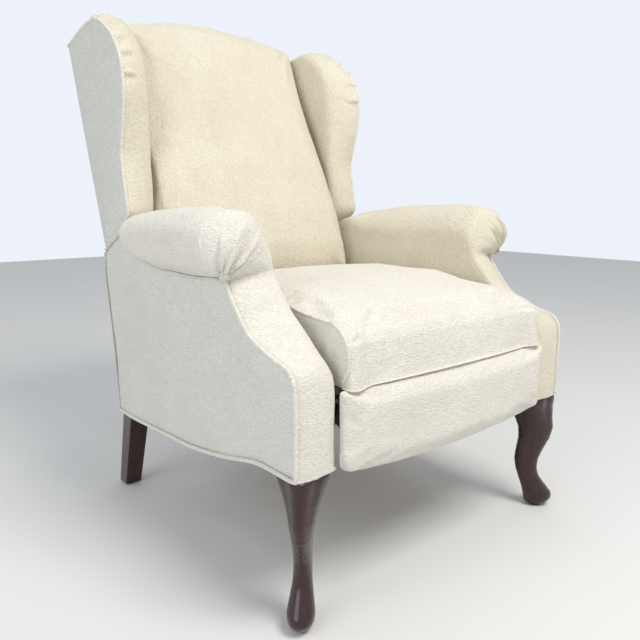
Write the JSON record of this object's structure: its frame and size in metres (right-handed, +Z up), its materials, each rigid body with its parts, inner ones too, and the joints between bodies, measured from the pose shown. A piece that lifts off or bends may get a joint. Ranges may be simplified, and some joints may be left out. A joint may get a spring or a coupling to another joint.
{
  "type": "wingback recliner",
  "caption": "High-leg wingback recliner with scroll arms: the back leans on side hinges while the seat swings forward, and a linkage lifts the footrest.",
  "frame": {"origin": "on the floor, under the middle of the chair's overall box", "axes": "+Z up, the chair faces -Y, +X to the right of a viewer who faces the chair"},
  "size_m": [0.776, 0.9228, 1.076],
  "materials": {
    "leg_wood": "gloss lacquer, dark mahogany",
    "frame_timber": "sawn hardwood, unfinished",
    "upholstery": "crinkled cream woven fabric",
    "steel": "black satin coated steel",
    "bright_steel": "zinc plated",
    "webbing": "elastic webbing",
    "spring_steel": "drawn wire",
    "deck_cloth": "bonded grey deck pad",
    "glide_plastic": "nylon glide"
  },
  "bodies": {
    "frame": {"front_leg_left": "leg_wood", "front_leg_right": "leg_wood", "rear_leg_left": "leg_wood", "rear_leg_right": "leg_wood", "leg_glides": "glide_plastic", "front_posts": "frame_timber", "rear_posts": "frame_timber", "arm_rails": "frame_timber", "arm_boards": "frame_timber", "bottom_rails": "frame_timber", "front_stretcher": "frame_timber", "rear_rail": "frame_timber", "rear_apron": "upholstery", "mechanism_rails": "frame_timber", "outside_arm_left": "upholstery", "outside_arm_right": "upholstery", "inside_arm_left": "upholstery", "inside_arm_right": "upholstery", "arm_front_left": "upholstery", "arm_front_right": "upholstery", "arm_roll_left": "upholstery", "arm_roll_right": "upholstery", "base_plates": "steel", "frame_pins": "bright_steel"},
    "swing": {"swing_links": "steel"},
    "seat": {"seat_side_rails": "frame_timber", "seat_front_rail": "frame_timber", "seat_rear_rail": "frame_timber", "seat_springs": "spring_steel", "seat_deck": "deck_cloth", "seat_cushion": "upholstery", "seat_plates": "steel", "seat_pins": "bright_steel"},
    "long_link": {"long_links": "steel", "long_link_pins": "bright_steel"},
    "mid_link": {"mid_links": "steel", "mid_link_pins": "bright_steel"},
    "low_link": {"low_links": "steel", "cross_tube": "steel"},
    "top_link": {"top_links": "steel"},
    "footrest": {"footrest_brackets": "steel", "footrest_pins": "bright_steel", "footrest_board": "frame_timber", "footrest_pad": "upholstery"},
    "back": {"back_stile_left": "frame_timber", "back_stile_right": "frame_timber", "back_bottom_rail": "frame_timber", "back_lumbar_rail": "frame_timber", "back_top_rail": "frame_timber", "back_straps": "webbing", "back_pad": "upholstery", "outside_back": "upholstery", "wing_pad_left": "upholstery", "wing_pad_right": "upholstery", "wing_cover_left": "upholstery", "wing_cover_right": "upholstery", "wing_boards": "frame_timber", "wing_blocks": "frame_timber", "back_brackets": "steel"}
  },
  "joints": [
    {"name": "back_recline", "type": "hinge", "parent": "frame", "child": "back", "pos_m": [0, 0.16762, 0.396], "axis": [-1, 0, 0], "range_deg": [0, 25], "stiffness_Nm_per_rad": 75, "springref_deg": -31.51},
    {"name": "swing_forward", "type": "hinge", "parent": "frame", "child": "swing", "pos_m": [0, -0.13238, 0.396], "axis": [-1, 0, 0], "range_deg": [0, 25.5]},
    {"name": "seat_level", "type": "hinge", "parent": "swing", "child": "seat", "pos_m": [0, -0.13238, 0.276], "axis": [1, 0, 0], "range_deg": [0, 25.5]},
    {"name": "footrest_open", "type": "hinge", "parent": "seat", "child": "long_link", "pos_m": [0, -0.35038, 0.347], "axis": [-1, 0, 0], "range_deg": [0, 103.27]},
    {"name": "mid_link_turn", "type": "hinge", "parent": "long_link", "child": "mid_link", "pos_m": [0, -0.22623, 0.22795], "axis": [1, 0, 0], "range_deg": [0, 107.38]},
    {"name": "footrest_turn", "type": "hinge", "parent": "mid_link", "child": "footrest", "pos_m": [0, -0.388, 0.34038], "axis": [-1, 0, 0], "range_deg": [0, 94.11]},
    {"name": "low_link_turn", "type": "hinge", "parent": "seat", "child": "low_link", "pos_m": [0, -0.32538, 0.33], "axis": [-1, 0, 0], "range_deg": [0, 104.09]},
    {"name": "top_link_turn", "type": "hinge", "parent": "long_link", "child": "top_link", "pos_m": [0, -0.21396, 0.21618], "axis": [1, 0, 0], "range_deg": [0, 107.4]}
  ],
  "couplings": [
    {"joint": "swing_forward", "follows": "back_recline", "ratio": 1},
    {"joint": "seat_level", "follows": "back_recline", "ratio": 1},
    {"joint": "mid_link_turn", "follows": "footrest_open", "ratio": 1.035},
    {"joint": "footrest_turn", "follows": "footrest_open", "ratio": 0.90648},
    {"joint": "low_link_turn", "follows": "footrest_open", "ratio": 1.0031},
    {"joint": "top_link_turn", "follows": "footrest_open", "ratio": 1.0351}
  ]
}
